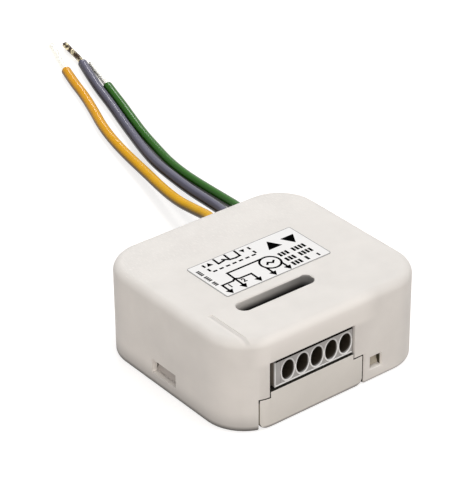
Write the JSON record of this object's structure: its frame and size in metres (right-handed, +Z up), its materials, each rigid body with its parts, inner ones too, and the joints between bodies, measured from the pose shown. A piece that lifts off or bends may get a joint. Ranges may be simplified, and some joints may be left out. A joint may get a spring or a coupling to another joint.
{
  "type": "radio receiver module",
  "caption": "Flush-mounted radio switching receiver in a square rounded housing, with a push-in terminal row, release buttons under a top slot and free flying leads.",
  "frame": {"origin": "centre of the housing's underside", "axes": "+Z up through the housing's flat top, +X along its longer side, the wire terminals face -Y and the leads leave the rear wall towards +Y"},
  "size_m": [0.0731, 0.1618, 0.0201],
  "materials": {
    "housing_white": "fine matt moulding",
    "base_white": "fine matt moulding",
    "label_foil": "satin foil",
    "terminal_grey": "satin moulding",
    "button_grey": "satin moulding",
    "spring_steel": "rolled strip",
    "contact_copper": "tinned copper",
    "board_laminate": "solder mask",
    "radio_laminate": "solder mask",
    "solder": "bright tin",
    "relay_case": "satin moulding",
    "film_case": "satin moulding",
    "can_aluminium": "sleeved can",
    "varistor_coat": "dipped coating",
    "resistor_coat": "dipped coating",
    "ferrite": "shrink sleeve",
    "shield_tin": "tin plate",
    "crystal_can": "drawn can",
    "chip_black": "mould compound",
    "chip_part_body": "ceramic body",
    "aerial_sleeve": "thin sleeve",
    "screw_steel": "zinc plated",
    "lead_yellow": "PVC sleeve",
    "lead_slate": "PVC sleeve",
    "lead_green": "PVC sleeve",
    "tinned_strand": "twisted strand"
  },
  "bodies": {
    "module": {"housing_cover": "housing_white", "base_plate": "base_white", "type_label": "label_foil", "terminal_end_plate": "terminal_grey", "circuit_board": "board_laminate", "solder_joints": "solder", "relay_1": "relay_case", "relay_2": "relay_case", "film_capacitor": "film_case", "smoothing_capacitor": "can_aluminium", "surge_varistor": "varistor_coat", "fuse_resistor": "resistor_coat", "noise_choke": "ferrite", "radio_board": "radio_laminate", "radio_shield": "shield_tin", "quartz_crystal": "crystal_can", "microcontroller": "chip_black", "bridge_rectifier": "chip_black", "aerial_wire": "aerial_sleeve", "chip_parts": "chip_part_body", "lead_clamp": "base_white", "clamp_screws": "screw_steel", "pole_housing_1": "terminal_grey", "current_bar_1": "contact_copper", "pole_housing_2": "terminal_grey", "current_bar_2": "contact_copper", "pole_housing_3": "terminal_grey", "current_bar_3": "contact_copper", "pole_housing_4": "terminal_grey", "current_bar_4": "contact_copper", "pole_housing_5": "terminal_grey", "current_bar_5": "contact_copper", "lead_tail_yellow": "lead_yellow", "lead_yellow": "lead_yellow", "bare_end_yellow": "tinned_strand", "lead_tail_slate": "lead_slate", "lead_slate": "lead_slate", "bare_end_slate": "tinned_strand", "lead_tail_green": "lead_green", "lead_green": "lead_green", "bare_end_green": "tinned_strand"},
    "button_1": {"release_button_1": "button_grey"},
    "clamp_1": {"clamp_spring_1": "spring_steel"},
    "button_2": {"release_button_2": "button_grey"},
    "clamp_2": {"clamp_spring_2": "spring_steel"},
    "button_3": {"release_button_3": "button_grey"},
    "clamp_3": {"clamp_spring_3": "spring_steel"},
    "button_4": {"release_button_4": "button_grey"},
    "clamp_4": {"clamp_spring_4": "spring_steel"},
    "button_5": {"release_button_5": "button_grey"},
    "clamp_5": {"clamp_spring_5": "spring_steel"}
  },
  "joints": [
    {"name": "button_slide_1", "type": "slide", "parent": "module", "child": "button_1", "axis": [0, 0, -1], "range_m": [0, 0.0008], "stiffness_N_per_m": 200, "springref_m": -0.0005},
    {"name": "clamp_hinge_1", "type": "hinge", "parent": "module", "child": "clamp_1", "pos_m": [-0.01135, -0.0068, 0.0114], "axis": [1, 0, 0], "range_deg": [0, 15.2]},
    {"name": "button_slide_2", "type": "slide", "parent": "module", "child": "button_2", "axis": [0, 0, -1], "range_m": [0, 0.0008], "stiffness_N_per_m": 200, "springref_m": -0.0005},
    {"name": "clamp_hinge_2", "type": "hinge", "parent": "module", "child": "clamp_2", "pos_m": [-0.00785, -0.0068, 0.0114], "axis": [1, 0, 0], "range_deg": [0, 15.2]},
    {"name": "button_slide_3", "type": "slide", "parent": "module", "child": "button_3", "axis": [0, 0, -1], "range_m": [0, 0.0008], "stiffness_N_per_m": 200, "springref_m": -0.0005},
    {"name": "clamp_hinge_3", "type": "hinge", "parent": "module", "child": "clamp_3", "pos_m": [-0.00435, -0.0068, 0.0114], "axis": [1, 0, 0], "range_deg": [0, 15.2]},
    {"name": "button_slide_4", "type": "slide", "parent": "module", "child": "button_4", "axis": [0, 0, -1], "range_m": [0, 0.0008], "stiffness_N_per_m": 200, "springref_m": -0.0005},
    {"name": "clamp_hinge_4", "type": "hinge", "parent": "module", "child": "clamp_4", "pos_m": [-0.00085, -0.0068, 0.0114], "axis": [1, 0, 0], "range_deg": [0, 15.2]},
    {"name": "button_slide_5", "type": "slide", "parent": "module", "child": "button_5", "axis": [0, 0, -1], "range_m": [0, 0.0008], "stiffness_N_per_m": 200, "springref_m": -0.0005},
    {"name": "clamp_hinge_5", "type": "hinge", "parent": "module", "child": "clamp_5", "pos_m": [0.00265, -0.0068, 0.0114], "axis": [1, 0, 0], "range_deg": [0, 15.2]}
  ],
  "couplings": [
    {"joint": "clamp_hinge_1", "follows": "button_slide_1", "rad_per_m": 327},
    {"joint": "clamp_hinge_2", "follows": "button_slide_2", "rad_per_m": 327},
    {"joint": "clamp_hinge_3", "follows": "button_slide_3", "rad_per_m": 327},
    {"joint": "clamp_hinge_4", "follows": "button_slide_4", "rad_per_m": 327},
    {"joint": "clamp_hinge_5", "follows": "button_slide_5", "rad_per_m": 327}
  ]
}
